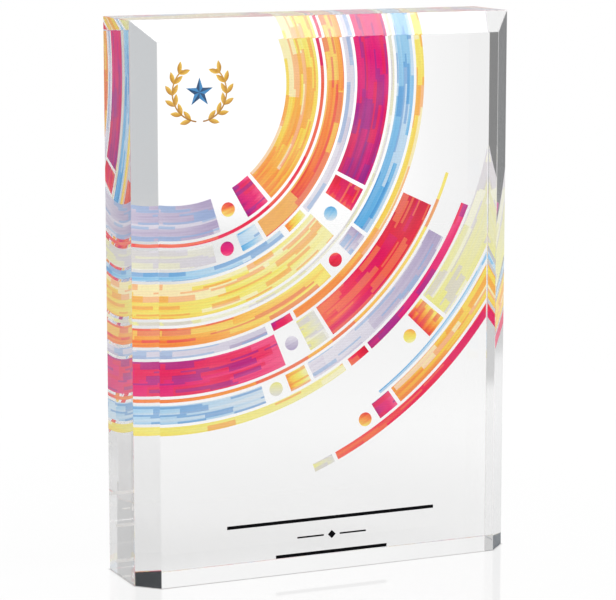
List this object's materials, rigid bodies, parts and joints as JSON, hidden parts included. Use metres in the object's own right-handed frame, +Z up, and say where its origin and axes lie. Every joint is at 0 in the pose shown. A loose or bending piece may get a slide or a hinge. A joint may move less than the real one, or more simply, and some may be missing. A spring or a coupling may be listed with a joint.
{
  "type": "freestanding acrylic plaque",
  "caption": "Thick clear acrylic block with bevelled front top and side edges, standing on its base, with a colour print on its back face and an emblem and ruled lines on its front face.",
  "frame": {"origin": "on the table under the middle of the block", "axes": "+X to the right as seen from the front, +Y towards the back face, +Z up"},
  "size_m": [0.1396, 0.0318, 0.1905],
  "materials": {
    "clear_acrylic": "polished",
    "ink_yellow": "satin",
    "ink_crimson": "satin",
    "ink_orange": "satin",
    "ink_lavender": "satin",
    "ink_magenta": "satin",
    "ink_straw": "satin",
    "ink_blue": "satin",
    "ink_gold": "satin",
    "ink_navy": "satin",
    "ink_black": "satin"
  },
  "bodies": {
    "root": {"acrylic_block": "clear_acrylic", "band_01_lower_lavender": "ink_lavender", "band_01_upper_yellow": "ink_yellow", "band_02_crimson": "ink_crimson", "band_03_lower_straw": "ink_straw", "band_03_upper_orange": "ink_orange", "band_04_lower_blue": "ink_blue", "band_04_upper_lavender": "ink_lavender", "band_05_lower_yellow": "ink_yellow", "band_05_upper_magenta": "ink_magenta", "band_06_straw": "ink_straw", "band_07_lower_orange": "ink_orange", "band_07_upper_blue": "ink_blue", "band_08_lower_lavender": "ink_lavender", "band_08_upper_yellow": "ink_yellow", "band_09_lower_magenta": "ink_magenta", "band_09_upper_crimson": "ink_crimson", "band_10_orange": "ink_orange", "band_11_lower_blue": "ink_blue", "band_11_upper_lavender": "ink_lavender", "band_12_lower_yellow": "ink_yellow", "band_12_upper_magenta": "ink_magenta", "band_13_upper_straw": "ink_straw", "band_14_blue": "ink_blue", "band_15_upper_yellow": "ink_yellow", "band_16_upper_crimson": "ink_crimson", "tip_01_magenta": "ink_magenta", "tip_03_blue": "ink_blue", "tip_04_yellow": "ink_yellow", "tip_05_crimson": "ink_crimson", "tip_07_lavender": "ink_lavender", "tip_08_magenta": "ink_magenta", "tip_09_straw": "ink_straw", "tip_11_yellow": "ink_yellow", "tip_12_crimson": "ink_crimson", "tip_13_orange": "ink_orange", "tip_15_magenta": "ink_magenta", "tip_16_straw": "ink_straw", "dot_01_orange": "ink_orange", "dot_03_magenta": "ink_magenta", "dot_05_blue": "ink_blue", "dot_07_crimson": "ink_crimson", "dot_09_lavender": "ink_lavender", "dot_11_straw": "ink_straw", "dot_13_yellow": "ink_yellow", "dot_15_orange": "ink_orange", "emblem_branch_left": "ink_gold", "emblem_branch_right": "ink_gold", "emblem_star": "ink_navy", "inscription_rule_lower": "ink_black", "inscription_rule_upper": "ink_black", "divider_lozenge": "ink_black", "divider_rule_left": "ink_black", "divider_rule_right": "ink_black"}
  },
  "joints": []
}
